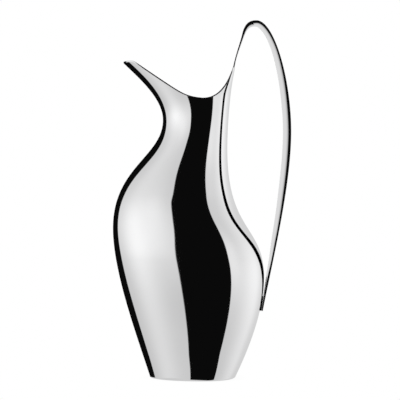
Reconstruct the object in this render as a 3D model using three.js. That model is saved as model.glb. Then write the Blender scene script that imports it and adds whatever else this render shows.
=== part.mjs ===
// Water pitcher in mirror-polished sheet metal.
// Two pressed half shells meet along the pitcher's middle plane, a dished plate closes the
// bottom, and one pressed ribbon makes the handle: it grows out of the rim's back, loops over
// and comes down to lie on the rear of the belly, on a thin pad of braze.
// Millimetres, +Z up, spout towards -X, handle towards +X, left side towards -Y.
// The origin lies on the resting plane, midway along the pitcher's length.

import * as THREE from 'three';

// ---------------------------------------------------------------- driving dimensions, mm

const bodyHeight = 256.5; // resting plane to the lowest point of the rim
const spoutRise = 35; // spout tip above the lowest point of the rim
const rootRise = 28.8; // joint of rim and handle above the lowest point of the rim
const handleRise = 73.5; // top of the handle above the lowest point of the rim

const bellyLength = 139.6; // front to back
const handleStandoff = 24.8; // back of the handle behind the back of the belly
const spoutReach = 74; // spout tip in front of the origin
const bellyWidth = 118; // side to side
const neckLength = 59.5;
const neckWidth = 61;
const neckCentre = -6.3; // middle of the neck, along X
const baseLength = 78;
const baseWidth = 76.6;
const baseCentre = -8.6; // middle of the base, along X

const wall = 1; // sheet of the half shells
const edgeRadius = 2.2; // outside radius of the bottom edge
const ringWidth = 4; // flat ring that the pitcher rests on
const plateThickness = 1;
const plateRise = 3; // height of the dish in the base plate
const plateSlope = 7; // width of the sloping step round that dish

const handleThickness = 1;
const handleWidth = 13.4; // side to side where the channel is deepest
const handleDepth = 7.3; // depth of the channel there
const crownWidth = 17; // side to side at the top of the loop
const crownDepth = 4;
const tongueDepth = 0.4; // depth of the rim's tongue where the handle joins it, nearly flat
const tonguePower = 4; // how flat the back of the tongue's section is there; 2 is an ellipse
const footHeight = 62; // lower end of the handle
const footWidth = 5.6;
const footDepth = 0.5; // depth of the channel at its lower end
const lapLength = 13; // length of the ribbon's lap on the belly
const padThickness = 0.6;
const joint = 0.3; // gap left at every brazed or welded joint between pieces

// ---------------------------------------------------------------- mesh density

const spoutColumns = 15; // columns of the half shell from the spout to the handle's edge
const tongueColumns = 3; // columns across half of the rim's tongue
const wallRows = 30; // rows of the half shell from the bottom edge to the rim
const edgeRows = 4; // rows round the bottom edge
const ribbonStations = 56; // steps along the handle
const ribbonStrips = 6; // strips across the handle
const plateSegments = 44;

// ---------------------------------------------------------------- outlines

// A smooth outline in the X-Z plane. Each knot has a place, a heading, and the length of its
// curve handles before and after it.
function outline(knots) {
  const path = new THREE.CurvePath();
  for (let i = 1; i < knots.length; i += 1) {
    const from = knots[i - 1];
    const to = knots[i];
    const start = new THREE.Vector2(...from.at);
    const end = new THREE.Vector2(...to.at);
    const leaving = new THREE.Vector2(...from.heading).setLength(from.after);
    const arriving = new THREE.Vector2(...to.heading).setLength(to.before);
    path.add(new THREE.CubicBezierCurve(start, start.clone().add(leaving), end.clone().sub(arriving), end));
  }
  return path;
}

// Where an outline that always runs forward along one axis reaches a value on that axis.
function crossing(path, axis, value) {
  const pieces = path.curves;
  const piece = pieces.find((curve) => value <= curve.v3[axis]) ?? pieces[pieces.length - 1];
  let low = 0;
  let high = 1;
  for (let step = 0; step < 40; step += 1) {
    const middle = (low + high) / 2;
    if (piece.getPoint(middle)[axis] < value) low = middle;
    else high = middle;
  }
  return piece.getPoint(low);
}

const up = [0, 1];
const pitcherLength = bellyLength + handleStandoff;
const bellyFront = -pitcherLength / 2;
const bellyBack = bellyFront + bellyLength;
const neckFront = neckCentre - neckLength / 2;
const neckBack = neckCentre + neckLength / 2;
const spoutHeight = bodyHeight + spoutRise;
const rootHeight = bodyHeight + rootRise;
const outlineTop = spoutHeight + 4; // the outlines run on past the rim, which trims the shells

const ofHeight = (share) => share * bodyHeight;

// A value that runs smoothly through stops, each [share, value].
function through(stops, share) {
  const next = Math.max(1, stops.findIndex(([place]) => place >= share));
  const [fromPlace, fromValue] = stops[next - 1];
  const [toPlace, toValue] = stops[next];
  return fromValue + (toValue - fromValue) * THREE.MathUtils.smoothstep(share, fromPlace, toPlace);
}

// How far the widest point lies behind the middle, as a share of half the length, at shares of
// the body's height.
const eggStops = [
  [0, 0.18],
  [0.1, 0.14],
  [0.43, 0.13],
  [0.56, 0.205],
  [0.66, 0.18],
  [0.87, 0.087],
  [1, 0.14],
  [1.2, 0.14],
];

const frontLine = outline([
  { at: [baseCentre - baseLength / 2, 0], heading: [-0.325, 1], after: ofHeight(0.165) },
  { at: [bellyFront, ofHeight(0.538)], heading: up, before: ofHeight(0.156), after: ofHeight(0.22) },
  { at: [neckFront, ofHeight(0.927)], heading: up, before: ofHeight(0.131), after: ofHeight(0.086) },
  { at: [-spoutReach - 2.7, outlineTop - 1], heading: [-1, 1.04], before: 19.5 },
]);

const backLine = outline([
  { at: [baseCentre + baseLength / 2, 0], heading: [0.49, 1], after: ofHeight(0.12) },
  { at: [bellyBack, ofHeight(0.36)], heading: up, before: ofHeight(0.115), after: ofHeight(0.191) },
  { at: [neckBack, ofHeight(0.823)], heading: up, before: ofHeight(0.303), after: ofHeight(0.096) },
  { at: [neckBack + 8.2, outlineTop], heading: [0.19, 1], before: 28 },
]);

const sideLine = outline([
  { at: [baseWidth / 2, 0], heading: [0.33, 1], after: ofHeight(0.12) },
  { at: [bellyWidth / 2, ofHeight(0.382)], heading: up, before: ofHeight(0.15), after: ofHeight(0.242) },
  { at: [neckWidth / 2, ofHeight(0.947)], heading: up, before: ofHeight(0.195), after: ofHeight(0.04) },
  { at: [neckWidth / 2 + 4, outlineTop], heading: [0.16, 1], before: ofHeight(0.07) },
]);

// The rim seen from the side: down from the spout, along the dip, and up the tongue.
const tongueBack = crossing(backLine, 'y', rootHeight).x;
const rimDip = neckCentre + 7;
const rimLine = outline([
  { at: [-spoutReach - 8, spoutHeight + 12], heading: [1, -0.66], after: 30 },
  { at: [rimDip, bodyHeight], heading: [1, 0], before: 16, after: 18 },
  { at: [tongueBack - tongueDepth, rootHeight], heading: [0.34, 1], before: 12 },
]);

function rimHeight(x) {
  if (x >= tongueBack - tongueDepth) return rootHeight;
  return Math.min(crossing(rimLine, 'x', x).y, spoutHeight);
}

// ---------------------------------------------------------------- the body's outer surface

// A point on the body, at an angle from 0 at the front to pi at the back. side is -1 for the
// left half and 1 for the right half. Each level section is an oval, fuller behind, whose back
// flattens towards the top of the rim's tongue.
function bodyPoint(angle, height, side) {
  const front = crossing(frontLine, 'y', height).x;
  const back = crossing(backLine, 'y', height).x;
  const halfWidth = crossing(sideLine, 'y', height).x;
  const halfLength = (back - front) / 2;
  const power = 2 + (tonguePower - 2) * THREE.MathUtils.smoothstep(height, bodyHeight, rootHeight);
  const flattened = Math.sqrt(1 - Math.abs(Math.sin(angle)) ** power);
  const backward = angle > Math.PI / 2 ? flattened : -Math.cos(angle);
  const egg = through(eggStops, height / bodyHeight);
  const along = egg * Math.sin(angle) ** 2 + backward;
  return new THREE.Vector3(
    (front + back) / 2 + halfLength * along,
    side * halfWidth * Math.sin(angle),
    height,
  );
}

function bodyNormal(angle, height, side) {
  const step = 0.001;
  const around = bodyPoint(angle + step, height, side).sub(bodyPoint(angle - step, height, side));
  const upward = bodyPoint(angle, height + step, side).sub(bodyPoint(angle, height - step, side));
  return around.cross(upward).multiplyScalar(-side).normalize();
}

// The height where the wall at this angle meets the rim.
function rimCrossing(angle) {
  let low = bodyHeight - 20;
  let high = spoutHeight + 1;
  for (let step = 0; step < 40; step += 1) {
    const middle = (low + high) / 2;
    if (middle < rimHeight(bodyPoint(angle, middle, 1).x)) low = middle;
    else high = middle;
  }
  return low;
}

// The angle where the rim reaches the tongue's top, which is the edge of the handle there.
function tongueAngle() {
  let low = Math.PI / 2;
  let high = Math.PI;
  for (let step = 0; step < 40; step += 1) {
    const middle = (low + high) / 2;
    if (bodyPoint(middle, rootHeight, 1).x < tongueBack - tongueDepth) low = middle;
    else high = middle;
  }
  return high;
}

// ---------------------------------------------------------------- closed sheets

// A sheet is two grids of points, outer[row][column] and inner[row][column], joined round all
// four edges into one closed body.
function closedSheet(outer, inner, turned) {
  const rows = outer.length;
  const columns = outer[0].length;
  const positions = [...outer.flat(), ...inner.flat()].flatMap((point) => point.toArray());
  const index = [];
  const outerAt = (row, column) => row * columns + column;
  const innerAt = (row, column) => (rows + row) * columns + column;
  const face = (a, b, c, d) => {
    if (turned) index.push(a, c, b, a, d, c);
    else index.push(a, b, c, a, c, d);
  };
  for (let row = 1; row < rows; row += 1) {
    for (let column = 1; column < columns; column += 1) {
      const low = row - 1;
      const left = column - 1;
      face(outerAt(low, left), outerAt(low, column), outerAt(row, column), outerAt(row, left));
      face(innerAt(low, left), innerAt(row, left), innerAt(row, column), innerAt(low, column));
    }
  }
  for (let column = 1; column < columns; column += 1) {
    const left = column - 1;
    const last = rows - 1;
    face(outerAt(0, column), outerAt(0, left), innerAt(0, left), innerAt(0, column));
    face(outerAt(last, left), outerAt(last, column), innerAt(last, column), innerAt(last, left));
  }
  for (let row = 1; row < rows; row += 1) {
    const low = row - 1;
    const last = columns - 1;
    face(outerAt(low, 0), outerAt(row, 0), innerAt(row, 0), innerAt(low, 0));
    face(outerAt(row, last), outerAt(low, last), innerAt(low, last), innerAt(row, last));
  }
  const geometry = new THREE.BufferGeometry();
  geometry.setAttribute('position', new THREE.Float32BufferAttribute(positions, 3));
  geometry.setIndex(index);
  geometry.computeVertexNormals();
  return geometry;
}

// ---------------------------------------------------------------- pieces

// One column of a half shell, from the inside edge of the resting ring, round the bottom edge
// and up the wall to the rim.
function shellColumn(angle, side) {
  const lean = Math.asin(bodyNormal(angle, edgeRadius, side).z);
  const wallFoot = edgeRadius * (1 + Math.sin(lean));
  const normal = bodyNormal(angle, wallFoot, side);
  const outward = new THREE.Vector3(normal.x, normal.y, 0).normalize();
  const pivot = bodyPoint(angle, wallFoot, side).addScaledVector(normal, -edgeRadius);
  const outer = [];
  const inner = [];
  const ringEnd = pivot.clone().addScaledVector(outward, -ringWidth);
  outer.push(ringEnd.clone().setZ(0));
  inner.push(ringEnd.clone().setZ(wall));
  for (let row = 0; row <= edgeRows; row += 1) {
    const tilt = THREE.MathUtils.lerp(-Math.PI / 2, lean, row / edgeRows);
    const spoke = outward.clone().multiplyScalar(Math.cos(tilt)).setZ(Math.sin(tilt));
    outer.push(pivot.clone().addScaledVector(spoke, edgeRadius));
    inner.push(pivot.clone().addScaledVector(spoke, edgeRadius - wall));
  }
  outer[1].setZ(0);
  inner[1].setZ(wall);
  const top = rimCrossing(angle);
  for (let row = 1; row <= wallRows; row += 1) {
    const height = THREE.MathUtils.lerp(wallFoot, top, row / wallRows);
    const point = bodyPoint(angle, height, side);
    outer.push(point);
    inner.push(point.clone().addScaledVector(bodyNormal(angle, height, side), -wall));
  }
  return { outer, inner };
}

function halfShell(side) {
  const edge = tongueAngle();
  const columns = [];
  for (let column = 0; column <= spoutColumns; column += 1) {
    columns.push(shellColumn((edge * column) / spoutColumns, side));
  }
  for (let column = 1; column <= tongueColumns; column += 1) {
    columns.push(shellColumn(THREE.MathUtils.lerp(edge, Math.PI, column / tongueColumns), side));
  }
  for (const seam of [columns[0], columns[columns.length - 1]]) {
    for (const point of [...seam.outer, ...seam.inner]) point.setY(0);
  }
  return closedSheet(columns.map((column) => column.outer), columns.map((column) => column.inner), side < 0);
}

// The dished plate that closes the bottom. It lies on the turned-in ring.
function basePlate() {
  const low = wall + joint;
  const top = low + plateThickness;
  const inset = edgeRadius + joint;
  const reach = baseWidth / 2 - inset;
  const stepOut = reach - ringWidth;
  const stepIn = stepOut - plateSlope;
  const profile = [
    new THREE.Vector2(0, low + plateRise),
    new THREE.Vector2(stepIn, low + plateRise),
    new THREE.Vector2(stepOut, low),
    new THREE.Vector2(reach, low),
    new THREE.Vector2(reach, top),
    new THREE.Vector2(stepOut, top),
    new THREE.Vector2(stepIn, top + plateRise),
    new THREE.Vector2(0, top + plateRise),
  ];
  const geometry = new THREE.LatheGeometry(profile, plateSegments);
  geometry.rotateX(Math.PI / 2);
  const places = geometry.attributes.position;
  for (let i = 0; i < places.count; i += 1) {
    const x = places.getX(i);
    const y = places.getY(i);
    const angle = Math.atan2(Math.abs(y), -x);
    const side = y < 0 ? -1 : 1;
    const rim = bodyPoint(angle, edgeRadius, side);
    const fromCentre = new THREE.Vector2(rim.x - baseCentre, rim.y);
    fromCentre.setLength(fromCentre.length() - inset).multiplyScalar(Math.hypot(x, y) / reach);
    places.setXY(i, baseCentre + fromCentre.x, fromCentre.y);
  }
  return geometry;
}

// The handle is a channel, open away from the loop, whose two lips follow the crest line: from
// the tongue over the top and down to the belly, where the channel's ridge lies on the pad.
const handleTop = bodyHeight + handleRise;
const handleBack = pitcherLength / 2;
const rootLean = 0.18; // lean of the tongue's back, X over Z
const shoulderHeight = rootHeight + 0.69 * (handleTop - rootHeight);
const footPlace = crossing(backLine, 'y', footHeight);
const footAbove = crossing(backLine, 'y', footHeight + lapLength);
const footStack = joint + padThickness + joint + footDepth + handleThickness;
const footRun = new THREE.Vector2().subVectors(footPlace, footAbove).normalize();
const foot = footPlace.clone().add(new THREE.Vector2(-footRun.y, footRun.x).multiplyScalar(footStack));
const crestStart = tongueBack - tongueDepth - handleThickness;
const crestFoot = rootHeight + joint + wall * rootLean;
const crestLine = outline([
  { at: [crestStart, crestFoot], heading: [rootLean, 1], after: 10.8 },
  { at: [crestStart + 8.4, shoulderHeight], heading: [0.24, 1], before: 8.7, after: 8.4 },
  { at: [crestStart + 21.7, handleTop], heading: [1, 0], before: 8.2, after: 16.8 },
  { at: [handleBack, 0.885 * bodyHeight], heading: [0, -1], before: 47, after: 50 },
  { at: foot.toArray(), heading: footRun.toArray(), before: 46 },
]);

const tongueHalfWidth = bodyPoint(tongueAngle(), rootHeight, 1).y;
const crownShare = crestLine.getCurveLengths()[1] / crestLine.getLength();
const halfWidthStops = [
  [0, tongueHalfWidth],
  [crownShare, crownWidth / 2],
  [0.45, handleWidth / 2],
  [0.58, handleWidth / 2],
  [1, footWidth / 2],
];
const depthStops = [
  [0, tongueDepth],
  [0.5 * crownShare, tongueDepth],
  [crownShare, crownDepth],
  [0.45, handleDepth],
  [0.58, handleDepth],
  [1, footDepth],
];

// A point across the handle: across runs from -1 to 1 between the lips, and deep is the
// distance under the convex face, which faces the middle of the loop.
function ribbonPoint(share, across, deep) {
  const crest = crestLine.getPointAt(share);
  const run = crestLine.getTangentAt(share);
  const outward = new THREE.Vector3(-run.y, 0, run.x);
  const halfWidth = through(halfWidthStops, share);
  const depth = through(depthStops, share);
  const bend = Math.min(2 * Math.atan(depth / halfWidth), Math.PI / 2);
  const turn = across * bend;
  const reach = halfWidth / Math.sin(bend);
  const drop = depth / (1 - Math.cos(bend));
  const under = handleThickness * Math.cos(bend) + drop * (Math.cos(turn) - Math.cos(bend));
  const point = new THREE.Vector3(crest.x, reach * Math.sin(turn), crest.y).addScaledVector(outward, -under);
  const normal = outward.multiplyScalar(-reach * Math.cos(turn)).setY(drop * Math.sin(turn)).normalize();
  return point.addScaledVector(normal, -deep);
}

function handleRibbon() {
  const face = (deep) => {
    const rows = [];
    for (let station = 0; station <= ribbonStations; station += 1) {
      const row = [];
      for (let strip = 0; strip <= ribbonStrips; strip += 1) {
        row.push(ribbonPoint(station / ribbonStations, (2 * strip) / ribbonStrips - 1, deep));
      }
      rows.push(row);
    }
    return rows;
  };
  return closedSheet(face(0), face(handleThickness), false);
}

// The braze pad fills the space between the belly and the ribbon's lower end.
function footPad() {
  const rows = 5;
  const strips = 4;
  const spread = 0.7; // share of the ribbon's width that the pad fills
  const lapShare = lapLength / crestLine.getLength();
  const outer = [];
  const inner = [];
  for (let row = 0; row <= rows; row += 1) {
    const share = THREE.MathUtils.lerp(1 - lapShare, 1, row / rows);
    const outerRow = [];
    const innerRow = [];
    for (let strip = 0; strip <= strips; strip += 1) {
      const across = spread * ((2 * strip) / strips - 1);
      const under = ribbonPoint(share, across, -joint);
      const side = under.y < 0 ? -1 : 1;
      const angle = Math.PI - Math.asin(Math.abs(under.y) / crossing(sideLine, 'y', under.z).x);
      const normal = bodyNormal(angle, under.z, side);
      outerRow.push(under);
      innerRow.push(bodyPoint(angle, under.z, side).addScaledVector(normal, joint));
    }
    outer.push(outerRow);
    inner.push(innerRow);
  }
  return closedSheet(outer, inner, true);
}

// ---------------------------------------------------------------- finishes and assembly

function polished(color, roughness) {
  return new THREE.MeshStandardMaterial({ color, roughness, metalness: 1 });
}

const pitcher = new THREE.Group();

function addPiece(name, geometry, material) {
  const mesh = new THREE.Mesh(geometry, material);
  mesh.name = name;
  pitcher.add(mesh);
}

addPiece('body_left_half', halfShell(-1), polished(0xe2e2e4, 0.05));
addPiece('body_right_half', halfShell(1), polished(0xe2e2e4, 0.05));
addPiece('base_plate', basePlate(), polished(0xc9c9cc, 0.25));
addPiece('handle_ribbon', handleRibbon(), polished(0xe2e2e4, 0.05));
addPiece('handle_foot_pad', footPad(), polished(0x9a9a9c, 0.35));

export default pitcher;
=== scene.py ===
"""Mirror-polished water pitcher: two half shells, base plate, channel handle and foot fillet.

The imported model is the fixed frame. Each piece is built in metres in that frame, rides on its
one body and stands for the plain solid of the same place.
"""

import math
from functools import lru_cache

import bmesh
import bpy
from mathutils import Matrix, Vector


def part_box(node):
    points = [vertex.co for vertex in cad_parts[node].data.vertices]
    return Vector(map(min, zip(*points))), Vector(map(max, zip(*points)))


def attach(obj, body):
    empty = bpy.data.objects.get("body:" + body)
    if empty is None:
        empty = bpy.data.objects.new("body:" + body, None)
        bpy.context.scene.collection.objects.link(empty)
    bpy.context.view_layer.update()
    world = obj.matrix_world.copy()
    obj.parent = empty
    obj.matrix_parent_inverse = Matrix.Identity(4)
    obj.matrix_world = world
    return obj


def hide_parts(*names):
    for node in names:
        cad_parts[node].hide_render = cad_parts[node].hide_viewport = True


bl_info = {
    "name": "Water Pitcher",
    "version": (1, 0, 0),
    "blender": (4, 5, 0),
    "location": "3D View > Sidebar > Pitcher",
    "description": "Builds a mirror-polished water pitcher and its studio on the packed frame",
    "category": "Add Mesh",
}

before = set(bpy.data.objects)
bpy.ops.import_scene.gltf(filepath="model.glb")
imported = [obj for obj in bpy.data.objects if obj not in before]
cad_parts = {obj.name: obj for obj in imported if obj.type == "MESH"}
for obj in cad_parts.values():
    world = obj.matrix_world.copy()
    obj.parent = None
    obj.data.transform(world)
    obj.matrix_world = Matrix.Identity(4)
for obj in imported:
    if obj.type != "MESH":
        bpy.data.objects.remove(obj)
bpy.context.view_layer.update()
SHELL_LOW, SHELL_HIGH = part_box("body_left_half")
HANDLE_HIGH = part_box("handle_ribbon")[1]
BODY = "root"

MM = 0.001
UP = (0.0, 1.0)


# ------------------------------------------------------------------ sizes, finishes and stage

def length(name, description, default):
    """A length property in metres."""
    return bpy.props.FloatProperty(
        name=name, description=description, default=default, min=0.0, precision=5,
        subtype="DISTANCE", unit="LENGTH",
    )


def place(name, description, default):
    """A signed place along an axis, in metres."""
    return bpy.props.FloatProperty(
        name=name, description=description, default=default, precision=5,
        subtype="DISTANCE", unit="LENGTH",
    )


def number(name, description, default):
    """A plain number, not below zero."""
    return bpy.props.FloatProperty(name=name, description=description, default=default, min=0.0)


def reflectance(name, description, default):
    """The colour of a metal."""
    return bpy.props.FloatVectorProperty(
        name=name, description=description, default=default, size=3, min=0.0, max=1.0, subtype="COLOR",
    )


class PitcherShape(bpy.types.PropertyGroup):
    """Sizes of the pitcher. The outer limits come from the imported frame."""

    body_height: length("Body height", "Resting plane to the lowest point of the rim", 256.5 * MM)
    spout_rise: length("Spout rise", "Spout tip above the lowest point of the rim", 35 * MM)
    root_rise: length("Handle root rise", "Joint of rim and handle above the rim's lowest point", 28.8 * MM)
    tip_start: place("Tip start", "Where the rim starts to round down to the spout's tip", -66 * MM)
    tip_drop: length("Tip drop", "How far the rim rounds down at the tip", 1 * MM)
    side_dip: length("Side dip", "How far the rim dips between spout and sides", 3.2 * MM)
    spout_reach: length("Spout reach", "Spout tip in front of the origin", 74 * MM)
    belly_front: place("Belly front", "Front of the belly", SHELL_LOW[0])
    belly_back: place("Belly back", "Back of the belly", SHELL_HIGH[0])
    belly_width: length("Belly width", "Side to side", -2 * SHELL_LOW[1])
    neck_length: length("Neck length", "Front to back", 59.5 * MM)
    neck_width: length("Neck width", "Side to side", 61 * MM)
    neck_centre: place("Neck centre", "Middle of the neck along X", -6.3 * MM)
    base_length: length("Base length", "Front to back", 78 * MM)
    base_width: length("Base width", "Side to side", 76.6 * MM)
    base_centre: place("Base centre", "Middle of the base along X", -8.6 * MM)
    egg_scale: number("Egg scale", "Scale on how far the widest point lies behind the middle", 1.0)
    tongue_depth: length("Tongue depth", "Depth of the rim's tongue at the handle", 0.4 * MM)
    tongue_power: number("Tongue flatness", "Power of the tongue's section, 2 is an ellipse", 4.0)
    wall: length("Wall", "Sheet of the half shells", 1 * MM)
    edge_radius: length("Edge radius", "Outside radius of the bottom edge", 2.2 * MM)
    ring_width: length("Ring width", "Flat ring that the pitcher rests on", 4 * MM)
    plate_thickness: length("Plate thickness", "Sheet of the base plate", 1 * MM)
    plate_rise: length("Plate rise", "Height of the dish in the base plate", 3 * MM)
    plate_slope: length("Plate slope", "Width of the step round the dish", 7 * MM)
    handle_top: length("Handle top", "Top of the loop", HANDLE_HIGH[2])
    crown_drop: length("Crown drop", "How far the rounded lips lie under the top of the loop", 0.8 * MM)
    handle_back: place("Handle back", "Back of the loop", HANDLE_HIGH[0])
    handle_width: length("Handle width", "Side to side where the channel is deepest", 13.4 * MM)
    handle_depth: length("Handle depth", "Depth of the channel there", 7.3 * MM)
    crown_width: length("Crown width", "Side to side at the top of the loop", 17 * MM)
    handle_thickness: length("Handle thickness", "Sheet of the handle", 1 * MM)
    foot_height: length("Foot height", "Lower end of the handle", 62 * MM)
    foot_width: length("Foot width", "Width of the handle's lower end", 5.6 * MM)
    foot_depth: length("Foot depth", "Depth of the channel there", 0.5 * MM)
    lap_length: length("Lap length", "Length of the handle's lap on the belly", 13 * MM)
    pad_thickness: length("Pad thickness", "Braze between the handle and the belly", 0.6 * MM)
    joint: length("Joint", "Gap at a brazed joint", 0.3 * MM)


class PitcherFinish(bpy.types.PropertyGroup):
    """Colours and polish of the metal."""

    silver: reflectance("Silver", "Reflectance of the polished metal", (0.915, 0.915, 0.92))
    # The braze's near-black colour is painted shade in the gap under the handle's foot.
    braze: reflectance("Braze", "Reflectance of the braze under the handle's foot", (0.03, 0.03, 0.03))
    polish: number("Polish", "Roughness of the mirror polish", 0.03)
    satin: number("Satin", "Roughness of the base plate", 0.24)
    braze_polish: number("Braze polish", "Roughness of the braze", 0.12)


class PitcherStage(bpy.types.PropertyGroup):
    """Camera and studio."""

    camera_distance: length("Camera distance", "Camera in front of the middle plane", 1.65)
    camera_height: length("Camera height", "Height of the level camera", 163.9 * MM)
    camera_side: place("Camera side", "Camera along X", -1.8 * MM)
    view_width: length("View width", "Width that the camera takes in at the middle plane", 369.6 * MM)
    card_near: length("Card near side", "Pale card's overhang past the handle, toward the camera", 16 * MM)
    card_far: length("Card far side", "Pale card's reach behind the middle plane", 40 * MM)
    card_low: number("Card low", "Brightness of the pale card's near edge", 0.36)
    card_high: number("Card high", "Brightness of the rest of the pale card", 0.78)
    background: number("Background", "Brightness of the backdrop and floor", 1.0)


def shape():
    return bpy.context.scene.pitcher_shape


def finish():
    return bpy.context.scene.pitcher_finish


def stage():
    return bpy.context.scene.pitcher_stage


# ------------------------------------------------------------------ outlines

def cubic(a, b, c, d, t):
    s = 1.0 - t
    return s * s * s * a + 3.0 * s * s * t * b + 3.0 * s * t * t * c + t * t * t * d


def cubic_rate(a, b, c, d, t):
    s = 1.0 - t
    return 3.0 * (s * s * (b - a) + 2.0 * s * t * (c - b) + t * t * (d - c))


def halve(low, high, steps, below):
    """Narrow a range, by halving it, to where a test that holds below a place stops holding."""
    for _ in range(steps):
        middle = (low + high) / 2
        if below(middle):
            low = middle
        else:
            high = middle
    return low, high


class Outline:
    """A smooth line in the X-Z plane: knots with a heading and curve handles, joined by cubics."""

    def __init__(self, knots):
        self.pieces = []
        for (start, heading, _, after), (end, arrival, before, _) in zip(knots, knots[1:]):
            leave = after / math.hypot(*heading)
            arrive = before / math.hypot(*arrival)
            near = (start[0] + leave * heading[0], start[1] + leave * heading[1])
            far = (end[0] - arrive * arrival[0], end[1] - arrive * arrival[1])
            self.pieces.append(tuple(zip(start, near, far, end)))

    def crossing(self, axis, value):
        """The other coordinate, and its rate, where the line reaches a value on one axis."""
        piece = next((p for p in self.pieces if value <= p[axis][3]), self.pieces[-1])
        t = sum(halve(0.0, 1.0, 34, lambda place: cubic(*piece[axis], place) < value)) / 2
        other = piece[1 - axis]
        return cubic(*other, t), cubic_rate(*other, t) / cubic_rate(*piece[axis], t)

    def walk(self, count):
        """Evenly spaced places and headings along the whole line."""
        steps = 400
        fine = [(piece, step / steps) for piece in self.pieces for step in range(steps)]
        fine.append((self.pieces[-1], 1.0))
        points = [(cubic(*piece[0], t), cubic(*piece[1], t)) for piece, t in fine]
        travelled = [0.0]
        for here, there in zip(points, points[1:]):
            travelled.append(travelled[-1] + math.dist(here, there))
        places = []
        index = 0
        for station in range(count):
            target = travelled[-1] * station / (count - 1)
            while index < len(points) - 2 and travelled[index + 1] < target:
                index += 1
            span = travelled[index + 1] - travelled[index]
            share = (target - travelled[index]) / span
            piece, t = fine[index]
            next_piece, next_t = fine[index + 1]
            if next_piece is not piece:
                next_t = 1.0
            t = t + (next_t - t) * share
            x, z = (cubic(*piece[axis], t) for axis in (0, 1))
            run = Vector([cubic_rate(*piece[axis], t) for axis in (0, 1)]).normalized()
            places.append((x, z, run.x, run.y))
        return places, travelled[-1]


# How far the widest point lies behind the middle, as a share of half the length, at shares of
# the body's height.
EGG_STOPS = (
    (0, 0.18), (0.1, 0.14), (0.43, 0.13), (0.56, 0.205), (0.66, 0.18), (0.87, 0.087), (1, 0.14),
    (1.2, 0.14),
)


def smooth(low, high, value):
    share = min(1.0, max(0.0, (value - low) / (high - low)))
    return share * share * (3.0 - 2.0 * share)


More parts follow.
